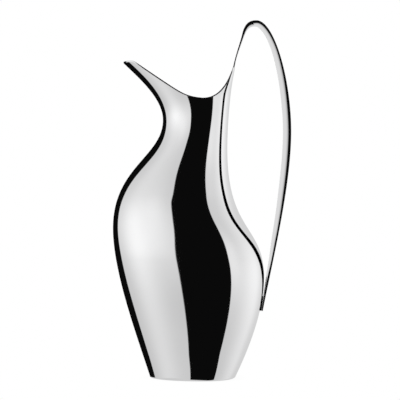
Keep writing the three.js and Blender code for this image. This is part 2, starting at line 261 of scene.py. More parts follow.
class Body:
    """The outer surface of the pitcher's body, left half; the right half mirrors it."""

    def __init__(self, s):
        tall = s.body_height
        half_base = s.base_length / 2
        neck_front = s.neck_centre - s.neck_length / 2
        neck_back = s.neck_centre + s.neck_length / 2
        self.size = s
        self.spout_height = tall + s.spout_rise
        self.root_height = tall + s.root_rise
        top = self.spout_height + 4 * MM
        self.front = Outline([
            ((s.base_centre - half_base, 0), (-0.325, 1), 0, 0.165 * tall),
            ((s.belly_front, 0.538 * tall), UP, 0.156 * tall, 0.22 * tall),
            ((neck_front, 0.927 * tall), UP, 0.131 * tall, 0.086 * tall),
            ((-s.spout_reach - 2.7 * MM, top - 1 * MM), (-1, 1.04), 19.5 * MM, 0),
        ])
        self.back = Outline([
            ((s.base_centre + half_base, 0), (0.49, 1), 0, 0.12 * tall),
            ((s.belly_back, 0.36 * tall), UP, 0.115 * tall, 0.191 * tall),
            ((neck_back, 0.823 * tall), UP, 0.303 * tall, 0.096 * tall),
            ((neck_back + 8.2 * MM, top), (0.19, 1), 28 * MM, 0),
        ])
        self.side = Outline([
            ((s.base_width / 2, 0), (0.33, 1), 0, 0.12 * tall),
            ((s.belly_width / 2, 0.382 * tall), UP, 0.15 * tall, 0.242 * tall),
            ((s.neck_width / 2, 0.947 * tall), UP, 0.195 * tall, 0.04 * tall),
            ((s.neck_width / 2 + 4 * MM, top), (0.16, 1), 0.07 * tall, 0),
        ])
        self.tongue_back = self.back.crossing(1, self.root_height)[0]
        self.tongue_edge = self.tongue_back - s.tongue_depth
        self.rim = Outline([
            ((-s.spout_reach - 8 * MM, self.spout_height + 12 * MM), (1, -0.66), 0, 30 * MM),
            ((s.neck_centre + 7 * MM, tall), (1, 0), 16 * MM, 18 * MM),
            ((self.tongue_edge, self.root_height), (0.34, 1), 12 * MM, 0),
        ])

    @lru_cache(maxsize=None)
    def lines(self, height):
        front, front_rate = self.front.crossing(1, height)
        back, back_rate = self.back.crossing(1, height)
        side, side_rate = self.side.crossing(1, height)
        return front, front_rate, back, back_rate, side, side_rate

    def power(self, height):
        extra = self.size.tongue_power - 2
        return 2 + extra * smooth(self.size.body_height, self.root_height, height)

    def egg(self, height):
        """Shift of the widest point: the stops joined by smooth steps."""
        share = height / self.size.body_height
        for (low, low_value), (high, high_value) in zip(EGG_STOPS, EGG_STOPS[1:]):
            if share <= high:
                step = low_value + (high_value - low_value) * smooth(low, high, share)
                return step * self.size.egg_scale
        return EGG_STOPS[-1][1] * self.size.egg_scale

    def along(self, angle, height):
        """Place along the section, from -1 at the front to 1 at the back."""
        power = self.power(height)
        egg = self.egg(height) * math.sin(angle) ** 2
        if angle <= math.pi / 2:
            return egg - math.cos(angle)
        return egg + math.sqrt(max(0.0, 1 - abs(math.sin(angle)) ** power))

    def point(self, angle, height):
        front, _, back, _, side, _ = self.lines(height)
        along = self.along(angle, height)
        x = (front + back) / 2 + (back - front) / 2 * along
        return Vector((x, -side * math.sin(angle), height))

    def normal(self, angle, height):
        front, front_rate, back, back_rate, side, side_rate = self.lines(height)
        turn = 1e-4
        rise = 1e-5
        along = self.along(angle, height)
        along_turn = (self.along(angle + turn, height) - self.along(angle - turn, height)) / (2 * turn)
        above = self.along(angle, height + rise)
        below = self.along(angle, height - rise)
        half = (back - front) / 2
        middle_rate = (front_rate + back_rate) / 2
        half_rate = (back_rate - front_rate) / 2
        around = Vector((half * along_turn, -side * math.cos(angle), 0))
        upward = Vector((
            middle_rate + half_rate * along + half * (above - below) / (2 * rise),
            -side_rate * math.sin(angle),
            1,
        ))
        return around.cross(upward).normalized()

    def rim_height(self, x):
        if x >= self.tongue_edge:
            return self.root_height
        tip = max(0.0, self.size.tip_start - x) / (self.size.spout_reach + self.size.tip_start)
        crown = self.spout_height - self.size.tip_drop * tip * tip
        return min(self.rim.crossing(0, x)[0], crown)

    def rim_crossing(self, angle):
        """Height where the wall at this angle meets the rim."""
        lowest = self.size.body_height - 20 * MM
        highest = self.spout_height + 1 * MM

        def under_rim(height):
            return height < self.rim_height(self.point(angle, height).x)

        return halve(lowest, highest, 26, under_rim)[0]

    def tongue_angle(self):
        """Angle where the rim reaches the top of the tongue."""
        def before_tongue(angle):
            return self.point(angle, self.root_height).x < self.tongue_edge

        return halve(math.pi / 2, math.pi, 30, before_tongue)[1]


# ------------------------------------------------------------------ mesh helpers

def face_outward(mesh):
    turned = bmesh.new()
    turned.from_mesh(mesh)
    bmesh.ops.recalc_face_normals(turned, faces=turned.faces)
    turned.to_mesh(mesh)
    turned.free()


def add_object(name, mesh):
    made = bpy.data.objects.new(name, mesh)
    bpy.context.scene.collection.objects.link(made)
    return made


def add_piece(name, points, normals, faces, flat=()):
    """A closed mesh at the origin, faces outward, smooth with its own normals but for the flat faces."""
    mesh = bpy.data.meshes.new(name)
    mesh.from_pydata([tuple(point) for point in points], [], faces)
    face_outward(mesh)
    mesh.polygons.foreach_set("use_smooth", [True] * len(mesh.polygons))
    if normals:
        corners = []
        for polygon in mesh.polygons:
            if polygon.index in flat:
                corners.extend([polygon.normal.copy()] * polygon.loop_total)
            else:
                corners.extend(normals[vertex] for vertex in polygon.vertices)
        mesh.normals_split_custom_set(corners)
    mesh.update()
    return add_object(name, mesh)


def place_piece(piece, material, node):
    """Give a piece its material, unless it already has one, and its place in the frame."""
    if material:
        piece.data.materials.append(material)
    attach(piece, BODY)
    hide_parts(node)


# ------------------------------------------------------------------ half shells

WALL_ROWS = 150
EDGE_ROWS = 8
# The rim's ground edge, from outside to inside: inset and drop in walls, tilt in degrees.
RIM_PROFILE = (
    (0.00, 0.86, 10), (0.04, 0.78, 34), (0.10, 0.70, 40), (0.62, 0.14, 48), (0.72, 0.05, 62),
    (0.84, 0.00, 90), (0.94, 0.05, 130), (1.00, 0.16, 170),
)
SHELL_COLUMNS = 104
TONGUE_COLUMNS = 16
# The wall stops this many walls under the rim, and its ground edge takes up the rest.
WALL_STOP = 0.6
EDGE_RISE = 0.86
# Angles from the front, in radians, over which the rim's side dip fades out.
DIP_FADE = (1.05, 1.65)


def shell_column(body, angle):
    """Points and normals of one column: outside from the resting ring to the rim, and inside."""
    s = body.size
    lean = math.asin(body.normal(angle, s.edge_radius).z)
    wall_foot = s.edge_radius * (1 + math.sin(lean))
    normal = body.normal(angle, wall_foot)
    outward = Vector((normal.x, normal.y, 0)).normalized()
    pivot = body.point(angle, wall_foot) - normal * s.edge_radius
    ring_end = pivot - outward * s.ring_width
    down = Vector((0, 0, -1))
    outer = [(Vector((ring_end.x, ring_end.y, 0)), down)]
    inner = [(Vector((ring_end.x, ring_end.y, s.wall)), -down)]
    for row in range(EDGE_ROWS + 1):
        tilt = -math.pi / 2 + (lean + math.pi / 2) * row / EDGE_ROWS
        spoke = outward * math.cos(tilt) + Vector((0, 0, math.sin(tilt)))
        outer.append((pivot + spoke * s.edge_radius, spoke))
        inner.append((pivot + spoke * (s.edge_radius - s.wall), -spoke))
    dip = s.side_dip * math.sin(angle) ** 2 * (1 - smooth(*DIP_FADE, angle))
    top = body.rim_crossing(angle) - WALL_STOP * s.wall - dip
    for row in range(1, WALL_ROWS + 1):
        share = row / WALL_ROWS
        height = wall_foot + (top - wall_foot) * share
        point = body.point(angle, height)
        normal = body.normal(angle, height)
        outer.append((point, normal))
        inner.append((point - normal * s.wall, -normal))
    return outer, inner


def build_shell(body):
    """Grid of the left half shell as one closed body: points, normals, faces, flat faces."""
    s = body.size
    edge = body.tongue_angle()
    angles = [edge * column / SHELL_COLUMNS for column in range(SHELL_COLUMNS)]
    angles += [edge + (math.pi - edge) * column / TONGUE_COLUMNS for column in range(TONGUE_COLUMNS + 1)]
    columns = [shell_column(body, angle) for angle in angles]
    loops = []
    for index, (outer, inner) in enumerate(columns):
        before = columns[max(0, index - 1)][0][-1][0]
        after = columns[min(len(columns) - 1, index + 1)][0][-1][0]
        point, normal = outer[-1]
        if index == 0 or index == len(columns) - 1:
            rim_run = Vector((0, 1, 0))
        else:
            rim_run = (after - before).normalized()
        rise = rim_run.cross(normal)
        rise = rise if rise.z > 0 else -rise
        rise.normalize()
        top = point + rise * (EDGE_RISE * s.wall)
        lip = []
        for inset, drop, tilt in RIM_PROFILE:
            turn = math.radians(tilt)
            edge_point = top - normal * (inset * s.wall) - rise * (drop * s.wall)
            lip.append((edge_point, normal * math.cos(turn) + rise * math.sin(turn)))
        loops.append(outer + lip[1:] + inner[::-1])
    for loop in (loops[0], loops[-1]):
        for row, (point, normal) in enumerate(loop):
            loop[row] = (Vector((point.x, 0, point.z)), Vector((normal.x, 0, normal.z)).normalized())
    points = [point for loop in loops for point, _ in loop]
    normals = [normal for loop in loops for _, normal in loop]
    count = len(loops[0])
    faces = []
    flat = set()
    for column in range(1, len(loops)):
        left = (column - 1) * count
        right = column * count
        for row in range(count):
            up = (row + 1) % count
            if up == 0:
                flat.add(len(faces))
            faces.append((left + row, right + row, right + up, left + up))
    rows = len(columns[0][0])
    last = (len(loops) - 1) * count
    for row in range(1, rows):
        low = row - 1
        for start, turned in ((0, False), (last, True)):
            face = (start + low, start + row, start + count - 1 - row, start + count - 1 - low)
            flat.add(len(faces))
            faces.append(face[::-1] if turned else face)
    for start, turned in ((0, False), (last, True)):
        face = tuple(start + row for row in range(rows - 1, count - rows + 1))
        flat.add(len(faces))
        faces.append(face[::-1] if turned else face)
    return points, normals, faces, flat


def mirrored(points, normals, faces):
    """The same body on the other side of the middle plane."""
    across = [Vector((point.x, -point.y, point.z)) for point in points]
    facing = [Vector((normal.x, -normal.y, normal.z)) for normal in normals]
    return across, facing, [face[::-1] for face in faces]


class PITCHER_OT_shells(bpy.types.Operator):
    """Build the left and right half shells of the body"""

    bl_idname = "pitcher.shells"
    bl_label = "Half shells"

    def execute(self, context):
        body = Body(shape())
        points, normals, faces, flat = build_shell(body)
        left = add_piece("shell_left", points, normals, faces, flat)
        place_piece(left, polished_metal(), "body_left_half")
        points, normals, faces = mirrored(points, normals, faces)
        right = add_piece("shell_right", points, normals, faces, flat)
        place_piece(right, polished_metal(), "body_right_half")
        return {"FINISHED"}


# ------------------------------------------------------------------ base plate

PLATE_SEGMENTS = 160
PLATE_RINGS = 10
PLATE_BULGE = 0.15 * MM  # how far the plate's edge stands out at half its thickness


def plate_section(s, low, reach):
    """Half the plate's section, from under its middle round the edge to above it: radius, height."""
    step_out = reach - s.ring_width
    step_in = step_out - s.plate_slope
    under = [(step_in * ring / PLATE_RINGS, low + s.plate_rise) for ring in range(1, PLATE_RINGS + 1)]
    for ring in range(1, PLATE_RINGS + 1):
        share = ring / PLATE_RINGS
        dish = s.plate_rise * (1 - smooth(0, 1, share))
        under.append((step_in + s.plate_slope * share, low + dish))
    under.append((reach, low))
    edge = [(reach + PLATE_BULGE, low + s.plate_thickness * share) for share in (0.25, 0.75)]
    over = [(radius, height + s.plate_thickness) for radius, height in under]
    return under + edge + over[::-1]


def plate_faces(rings):
    """A fan at each pole and quads between the rings."""
    faces = []
    last = 1 + (rings - 1) * PLATE_SEGMENTS
    top = last + PLATE_SEGMENTS
    for segment in range(PLATE_SEGMENTS):
        beside = (segment + 1) % PLATE_SEGMENTS
        faces.append((0, 1 + beside, 1 + segment))
        for ring in range(1, rings):
            here = 1 + ring * PLATE_SEGMENTS
            below = here - PLATE_SEGMENTS
            faces.append((below + segment, below + beside, here + beside, here + segment))
        faces.append((last + segment, last + beside, top))
    return faces


class PITCHER_OT_base_plate(bpy.types.Operator):
    """Build the dished plate that closes the bottom"""

    bl_idname = "pitcher.base_plate"
    bl_label = "Base plate"

    def execute(self, context):
        s = shape()
        body = Body(s)
        low = s.wall + s.joint
        inset = s.edge_radius + s.joint
        reach = s.base_width / 2 - inset
        section = plate_section(s, low, reach)
        points = [Vector((s.base_centre, 0, low + s.plate_rise))]
        for radius, height in section:
            for segment in range(PLATE_SEGMENTS):
                turn = 2 * math.pi * segment / PLATE_SEGMENTS
                right_side = turn > math.pi
                rim = body.point(2 * math.pi - turn if right_side else turn, s.edge_radius)
                across = Vector((rim.x - s.base_centre, -rim.y if right_side else rim.y))
                across = across.normalized() * (across.length - inset) * radius / reach
                points.append(Vector((s.base_centre + across.x, across.y, height)))
        points.append(Vector((s.base_centre, 0, low + s.plate_rise + s.plate_thickness)))
        plate = add_piece("bottom_plate", points, None, plate_faces(len(section)))
        place_piece(plate, satin_metal(), "base_plate")
        return {"FINISHED"}


# ------------------------------------------------------------------ handle

HANDLE_STATIONS = 420
HANDLE_STRIPS = 48
LIP_ROWS = 4


def monotone(stops, place):
    """A smooth value through named stops, each (place, value), with no overshoot between them."""
    slopes = [(b[1] - a[1]) / (b[0] - a[0]) for a, b in zip(stops, stops[1:])]
    rates = [0.0]
    for before, after in zip(slopes, slopes[1:]):
        rates.append(2 * before * after / (before + after) if before * after > 0 else 0.0)
    rates.append(slopes[-1])
    index = max(i for i in range(len(slopes)) if i == 0 or stops[i][0] <= place)
    (low, start), (high, end) = stops[index], stops[index + 1]
    span = high - low
    t = min(1.0, max(0.0, (place - low) / span))
    s = 1.0 - t
    near = start + rates[index] * span / 3
    far = end - rates[index + 1] * span / 3
    return cubic(start, near, far, end, t)


class Handle:
    """The channel handle: its crest line, and its section along that line.

    The section is a squared oval: half_width from the middle to the flank, depth from the lips to
    the bottom, and a power that squares its corners.
    """

    def __init__(self, body):
        s = body.size
        foot_x, _ = body.back.crossing(1, s.foot_height)
        above_x, _ = body.back.crossing(1, s.foot_height + s.lap_length)
        run = Vector((foot_x - above_x, -s.lap_length)).normalized()
        stack = 2 * s.joint + s.pad_thickness + s.foot_depth + s.handle_thickness
        foot = (foot_x - run.y * stack, s.foot_height + run.x * stack)
        start = body.tongue_back - s.tongue_depth - s.handle_thickness
        root_lean = 0.18
        shoulder = body.root_height + 0.69 * (s.handle_top - body.root_height)
        self.size = s
        self.crest = Outline([
            ((start, body.root_height), (root_lean, 1), 0, 10.8 * MM),
            ((start + 8.4 * MM, shoulder), (0.24, 1), 8.7 * MM, 8.4 * MM),
            ((start + 21.7 * MM, s.handle_top - s.crown_drop), (1, 0), 8.2 * MM, 16.8 * MM),
            ((s.handle_back, 0.885 * s.body_height), (0, -1), 47 * MM, 50 * MM),
            (foot, tuple(run), 46 * MM, 0),
        ])
        self.stations, self.length = self.crest.walk(HANDLE_STATIONS)
        tongue = -body.point(body.tongue_angle(), body.root_height).y
        sheet = s.handle_thickness
        deep = s.handle_depth
        self.width_stops = [
            (0, tongue), (0.16, s.crown_width / 2), (0.45, s.handle_width / 2),
            (0.58, s.handle_width / 2), (1, s.foot_width / 2),
        ]
        self.depth_stops = [
            (0, sheet + s.tongue_depth), (0.03, 1.25 * sheet), (0.08, 1.8 * sheet),
            (0.12, 0.44 * deep), (0.165, 0.66 * deep), (0.25, 0.77 * deep), (0.33, 0.9 * deep),
            (0.43, deep), (0.53, deep), (0.64, 0.945 * deep), (0.72, 0.82 * deep),
            (0.79, 0.72 * deep), (0.855, 0.535 * deep), (0.92, 0.41 * deep), (0.975, 0.24 * deep),
            (1, sheet + s.foot_depth * 0.5),
        ]
        self.power_stops = [
            (0, 16.0), (0.09, 16.0), (0.13, 8.0), (0.165, 4.2), (0.21, 3.0), (0.27, 2.4), (0.36, 2.3),
            (0.46, 2.4), (0.62, 2.4), (0.76, 2.4), (0.86, 3.4), (0.93, 8.0), (1, 14.0),
        ]

    def section(self, share):
        """Points and normals round the section: across from the middle, and down from the lips."""
        half = monotone(self.width_stops, share)
        depth = monotone(self.depth_stops, share)
        power = monotone(self.power_stops, share)
        sheet = self.size.handle_thickness
        round_off = 0.12 * sheet

        def oval(half_width, whole_depth, facing):
            rows = []
            for strip in range(HANDLE_STRIPS + 1):
                turn = math.pi * (strip / HANDLE_STRIPS - 0.5)
                side = math.copysign(abs(math.sin(turn)) ** (2 / power), turn)
                down = max(0.0, math.cos(turn)) ** (2 / power)
                normal = Vector((
                    math.copysign(abs(side) ** (power - 1), side) / half_width,
                    down ** (power - 1) / max(whole_depth - round_off, 0.2 * MM),
                )).normalized()
                reach = round_off + (whole_depth - round_off) * down
                rows.append((half_width * side, reach, normal * facing))
            return rows

        def corner(middle, start, turn_end):
            rows = []
            for row in range(LIP_ROWS + 1):
                turn = start + (turn_end - start) * row / LIP_ROWS
                spoke = Vector((math.cos(turn), -math.sin(turn)))
                place = (middle + round_off * spoke.x, round_off * (1 + spoke.y))
                rows.append((*place, spoke))
            return rows

        outer = oval(half, depth, 1)
        inner = oval(half - sheet, depth - sheet, -1)
        quarter = math.pi / 2
        lip = corner(half - round_off, 0.0, quarter)
        lip += corner(half - sheet + round_off, quarter, 2 * quarter)
        lip = lip[1:-1]
        left = [(-across, down, Vector((-normal.x, normal.y))) for across, down, normal in lip[::-1]]
        return outer + lip + inner[::-1] + left

    def ring(self, index):
        """Points and normals of the section set across the crest line at one station."""
        x, z, run_x, run_z = self.stations[index]
        outward = Vector((-run_z, 0, run_x))
        rows = []
        for across, down, normal in self.section(index / (HANDLE_STATIONS - 1)):
            point = Vector((x, across, z)) - outward * down
            facing = Vector((0, normal.x, 0)) - outward * normal.y
            rows.append((point, facing))
        return rows


def handle_faces(count):
    """Quads along the handle, and the flat end faces: all the faces, and which of them are flat."""
    faces = []
    for station in range(1, HANDLE_STATIONS):
        here = station * count
        back = here - count
        for row in range(count):
            beside = (row + 1) % count
            faces.append((back + row, back + beside, here + beside, here + row))
    lips = 2 * LIP_ROWS
    inner_end = 2 * HANDLE_STRIPS + lips + 1
    caps = [(row, inner_end - row, inner_end - row - 1, row + 1) for row in range(HANDLE_STRIPS)]
    right_lip = range(HANDLE_STRIPS, HANDLE_STRIPS + lips + 2)
    left_lip = list(range(inner_end, count)) + [0]
    caps += [tuple(right_lip)[::-1], tuple(left_lip)[::-1]]
    flat = set()
    for start, step in ((0, 1), (count * (HANDLE_STATIONS - 1), -1)):
        for cap in caps:
            flat.add(len(faces))
            faces.append(tuple(start + vertex for vertex in cap[::step]))
    return faces, flat


class PITCHER_OT_handle(bpy.types.Operator):
    """Build the channel handle along its crest line"""

    bl_idname = "pitcher.handle"
    bl_label = "Handle"

    def execute(self, context):
        handle = Handle(Body(shape()))
        rings = [handle.ring(index) for index in range(HANDLE_STATIONS)]
        points = [point for ring in rings for point, _ in ring]
        normals = [normal for ring in rings for _, normal in ring]
        faces, flat = handle_faces(len(rings[0]))
        piece = add_piece("channel_handle", points, normals, faces, flat)
        place_piece(piece, polished_metal(), "handle_ribbon")
        return {"FINISHED"}


# ------------------------------------------------------------------ node helpers

def socket(tree, in_out, name, kind, default=None):
    made = tree.interface.new_socket(name=name, in_out=in_out, socket_type=kind)
    if default is not None:
        made.default_value = default
    return made


class NodeMaths:
    """Small sums of nodes in one tree."""

    def __init__(self, tree):
        self.tree = tree

    def do(self, operation, *values):
        node = self.tree.nodes.new("ShaderNodeMath")
        node.operation = operation
        for index, value in enumerate(values):
            if isinstance(value, (int, float)):
                node.inputs[index].default_value = value
            else:
                self.tree.links.new(value, node.inputs[index])
        return node.outputs[0]

    def ramp(self, value, low, high, out_low=0.0, out_high=1.0):
        """A smooth rise between two places."""
        node = self.tree.nodes.new("ShaderNodeMapRange")
        node.interpolation_type = "SMOOTHSTEP"
        for name, limit in (
            ("From Min", low), ("From Max", high), ("To Min", out_low), ("To Max", out_high),
        ):
            node.inputs[name].default_value = limit
        self.tree.links.new(value, node.inputs["Value"])
        return node.outputs["Result"]

    def bell(self, value, centre, width):
        """A soft hump of height 1."""
        away = self.do("DIVIDE", self.do("SUBTRACT", value, centre), width)
        return self.do("EXPONENT", self.do("MULTIPLY", self.do("MULTIPLY", away, away), -1.0))


# ------------------------------------------------------------------ foot fillet

FILLET_SHARE = 0.35  # half the fillet's width, as a share of the foot's width
FILLET_GAPS = (0.5, 0.1)  # its gaps to the handle and to the body, in joints


def sweep_tree():
    """Node tree that carries a closed outline across the middle plane as one solid."""
    tree = bpy.data.node_groups.new("sweep_across", "GeometryNodeTree")
    socket(tree, "INPUT", "Outline", "NodeSocketGeometry")
    socket(tree, "INPUT", "Half width", "NodeSocketFloat", 1 * MM)
    socket(tree, "INPUT", "Material", "NodeSocketMaterial")
    socket(tree, "OUTPUT", "Solid", "NodeSocketGeometry")
    nodes = tree.nodes
    given = nodes.new("NodeGroupInput")
    near = nodes.new("ShaderNodeCombineXYZ")
    far = nodes.new("ShaderNodeCombineXYZ")
    path = nodes.new("GeometryNodeCurvePrimitiveLine")
    profile = nodes.new("GeometryNodeMeshToCurve")
    solid = nodes.new("GeometryNodeCurveToMesh")
    solid.inputs["Fill Caps"].default_value = True
    real = nodes.new("GeometryNodeRealizeInstances")
    coated = nodes.new("GeometryNodeSetMaterial")
    result = nodes.new("NodeGroupOutput")
    half_width = given.outputs["Half width"]
    for source, target in (
        (NodeMaths(tree).do("MULTIPLY", half_width, -1.0), near.inputs["Y"]),
        (half_width, far.inputs["Y"]),
        (near.outputs["Vector"], path.inputs["Start"]),
        (far.outputs["Vector"], path.inputs["End"]),
        (given.outputs["Outline"], profile.inputs["Mesh"]),
        (path.outputs["Curve"], solid.inputs["Curve"]),
        (profile.outputs["Curve"], solid.inputs["Profile Curve"]),
        (solid.outputs["Mesh"], real.inputs["Geometry"]),
        (real.outputs["Geometry"], coated.inputs["Geometry"]),
        (given.outputs["Material"], coated.inputs["Material"]),
        (coated.outputs["Geometry"], result.inputs["Solid"]),
    ):
        tree.links.new(source, target)
    return tree


def swept_across(name, outline, half_width, material):
    """The closed outline, points (x, z) in the middle plane, as a plain mesh of the given width."""
    mesh = bpy.data.meshes.new(name)
    edges = [(index, (index + 1) % len(outline)) for index in range(len(outline))]
    mesh.from_pydata([(x, -z, 0) for x, z in outline], edges, [])
    piece = add_object(name, mesh)
    modifier = piece.modifiers.new("sweep", "NODES")
    modifier.node_group = sweep_tree()
    inputs = {item.name: item.identifier for item in modifier.node_group.interface.items_tree}
    modifier[inputs["Half width"]] = half_width
    modifier[inputs["Material"]] = material
    evaluated = piece.evaluated_get(bpy.context.evaluated_depsgraph_get())
    solid = bpy.data.meshes.new_from_object(evaluated)
    piece.modifiers.remove(modifier)
    face_outward(solid)
    piece.data = solid
    return piece


class PITCHER_OT_foot_fillet(bpy.types.Operator):
    """Build the braze fillet under the handle's lower end"""

    bl_idname = "pitcher.foot_fillet"
    bl_label = "Foot fillet"

    def execute(self, context):
        body = Body(shape())
        handle = Handle(body)
        s = body.size
        first = int((1 - s.lap_length / handle.length) * (HANDLE_STATIONS - 1))
        under = []
        wall = []
        for index in range(first, HANDLE_STATIONS):
            point, normal = handle.ring(index)[HANDLE_STRIPS // 2]
            face = point + normal * (FILLET_GAPS[0] * s.joint)
            back = body.point(math.pi, face.z)
            back += body.normal(math.pi, face.z) * (FILLET_GAPS[1] * s.joint)
            under.append((face.x, face.z))
            wall.append((back.x, back.z))
        # The fillet's near-black colour is painted shade under the handle's foot.
        fillet = swept_across("foot_fillet", under + wall[::-1], FILLET_SHARE * s.foot_width, painted_shade_braze_metal())
        place_piece(fillet, None, "handle_foot_pad")
        return {"FINISHED"}


# ------------------------------------------------------------------ materials

HAIRLINE_LEAN = 0.35  # radians from upright
HAIRLINE_STRETCH = 0.03  # noise scale along a hairline, against 1 across it
HAIRLINE_SHARE = 0.45  # of the roughness spread; the smudges add all of it
SMUDGE_RANGE = (0.42, 0.72)  # noise values over which a smudge comes in
SMUDGE_DULLS = 0.02  # how much a full smudge darkens the metal


def polish_group():
    """Fine hairlines and faint cloudy smudges of a hand-polished metal surface."""
    name = "polish_marks"
    if name in bpy.data.node_groups:
        return bpy.data.node_groups[name]
    tree = bpy.data.node_groups.new(name, "ShaderNodeTree")
    socket(tree, "INPUT", "Hairline Scale", "NodeSocketFloat", 900.0)
    socket(tree, "INPUT", "Smudge Scale", "NodeSocketFloat", 18.0)
    socket(tree, "INPUT", "Roughness", "NodeSocketFloat", 0.03)
    socket(tree, "INPUT", "Spread", "NodeSocketFloat", 0.02)
    socket(tree, "INPUT", "Colour", "NodeSocketColor", (0.9, 0.9, 0.9, 1.0))
    socket(tree, "OUTPUT", "Colour", "NodeSocketColor")
    socket(tree, "OUTPUT", "Roughness", "NodeSocketFloat")
    socket(tree, "OUTPUT", "Height", "NodeSocketFloat")
    nodes, links = tree.nodes, tree.links
    sums = NodeMaths(tree)
    given = nodes.new("NodeGroupInput")
    result = nodes.new("NodeGroupOutput")
    where = nodes.new("ShaderNodeTexCoord")

    stretch = nodes.new("ShaderNodeMapping")
    stretch.inputs["Rotation"].default_value = (0.0, HAIRLINE_LEAN, 0.0)
    stretch.inputs["Scale"].default_value = (1.0, 1.0, HAIRLINE_STRETCH)
    links.new(where.outputs["Object"], stretch.inputs["Vector"])
    hair = nodes.new("ShaderNodeTexNoise")
    hair.inputs["Detail"].default_value = 3.0
    links.new(stretch.outputs["Vector"], hair.inputs["Vector"])
    links.new(given.outputs["Hairline Scale"], hair.inputs["Scale"])

    smudge = nodes.new("ShaderNodeTexNoise")
    smudge.inputs["Detail"].default_value = 4.0
    smudge.inputs["Distortion"].default_value = 0.6
    links.new(where.outputs["Object"], smudge.inputs["Vector"])
    links.new(given.outputs["Smudge Scale"], smudge.inputs["Scale"])
    cloud = sums.ramp(smudge.outputs["Fac"], *SMUDGE_RANGE)

    marks = sums.do("MULTIPLY_ADD", hair.outputs["Fac"], HAIRLINE_SHARE, cloud)
    rough = sums.do("MULTIPLY_ADD", marks, given.outputs["Spread"], given.outputs["Roughness"])
    tint = nodes.new("ShaderNodeVectorMath")
    tint.operation = "SCALE"
    links.new(given.outputs["Colour"], tint.inputs[0])
    links.new(sums.do("MULTIPLY_ADD", cloud, -SMUDGE_DULLS, 1.0), tint.inputs["Scale"])

    links.new(tint.outputs["Vector"], result.inputs["Colour"])
    links.new(rough, result.inputs["Roughness"])
    links.new(hair.outputs["Fac"], result.inputs["Height"])
    return tree


def metal(name, colour, roughness, spread, hairline_scale, relief):
    """A metal with the shared polish marks at its own strength."""
    if name in bpy.data.materials:
        return bpy.data.materials[name]
    material = bpy.data.materials.new(name)
    material.use_nodes = True
    nodes, links = material.node_tree.nodes, material.node_tree.links
    shader = nodes["Principled BSDF"]
    shader.inputs["Metallic"].default_value = 1.0
    marks = nodes.new("ShaderNodeGroup")
    marks.node_tree = polish_group()
    marks.inputs["Colour"].default_value = (*colour, 1.0)
    marks.inputs["Roughness"].default_value = roughness
    marks.inputs["Spread"].default_value = spread
    marks.inputs["Hairline Scale"].default_value = hairline_scale
    links.new(marks.outputs["Colour"], shader.inputs["Base Color"])
    links.new(marks.outputs["Roughness"], shader.inputs["Roughness"])
    bump = nodes.new("ShaderNodeBump")
    bump.inputs["Strength"].default_value = relief
    bump.inputs["Distance"].default_value = 0.02 * MM
    links.new(marks.outputs["Height"], bump.inputs["Height"])
    links.new(bump.outputs["Normal"], shader.inputs["Normal"])
    return material


def polished_metal():
    colours = finish()
    return metal(
        "mirror_polish", colours.silver, colours.polish, spread=0.02, hairline_scale=900.0, relief=0.05,
    )


def satin_metal():
    colours = finish()
    return metal(
        "satin_polish", colours.silver, colours.satin, spread=0.12, hairline_scale=500.0, relief=0.5,
    )


def painted_shade_braze_metal():
    # Near-black braze: painted shade in the joint under the handle's foot.
    colours = finish()
    return metal(
        "braze_painted_shade", colours.braze, colours.braze_polish, spread=0.1, hairline_scale=400.0, relief=0.6,
    )


# ------------------------------------------------------------------ stage

# The studio, by the direction that a reflection looks in, in degrees. Azimuth 0 is towards the
# camera and grows towards the handle. Elevation 0 is level. An edge is a pair, where it starts
# and where it ends.
LEFT_NEAR_EDGE = (-28.1, -26.5)
LEFT_FAR_EDGE = (-123.3, -121.7)
RIGHT_NEAR_EDGE = (50.2, 51.8)
CEILING_EDGE = (49.0, 53.0)
POOL_EDGE = (-78.0, -74.0)
# The left panel's near edge leans into the gap: start, end and lean of each step up.
GAP_LEANS = ((8.0, 25.0, 2.0), (28.0, 38.0, 3.0))
# Each panel's even light and its soft spots: strength, azimuth and width, elevation and width.
LEFT_PANEL = (0.58, (
    (0.10, (-76.0, 26.0), None),
    (-0.10, None, (-16.0, 16.0)),
    (0.11, (-48.0, 16.0), (20.0, 16.0)),
    (0.12, None, (0.0, 24.0)),
    (0.16, (-76.0, 26.0), (0.0, 24.0)),
))
RIGHT_PANEL = (0.55, (
    (0.13, (118.0, 40.0), None),
    (0.12, (58.0, 16.0), (14.0, 18.0)),
    (0.11, None, (0.0, 24.0)),
    (0.09, (118.0, 40.0), (0.0, 24.0)),
))
RIGHT_FADE = (120.0, 150.0, 0.0, -0.09)  # start, end and the light added at each
POOL_LIGHT = 0.85
DARK_LIGHT = 0.003

FLOOR_HALF = 6.0
# Painted contact shadow: ambient occlusion dims the glowing floor near the pitcher.
CONTACT_REACH = 12 * MM  # how far the pitcher shades the floor
CONTACT_OPEN = 0.3  # how open the floor is where that shade is full
CONTACT_LIGHT = 0.98
# The mat is a glowing disc seen only in reflections: it paints a pale reflection on the pitcher's bottom
# edge.
MAT_EDGE = 2 * MM  # how far the mat reaches past the base
MAT_DROP = 1 * MM
REFLECTION_GLOW_LIGHT = 0.65

# The cards follow the handle between these shares of its length, at every third station.
CARD_SHARES = (0.15, 0.985)
CARD_STEP = 3
CARD_COLUMNS = 8
SLEEVE_GAP = 1.7 * MM
SCREEN_GAP = 2 * MM
CARD_RISE = (-22 * MM, -6 * MM)  # across the pitcher, where a card's light rises


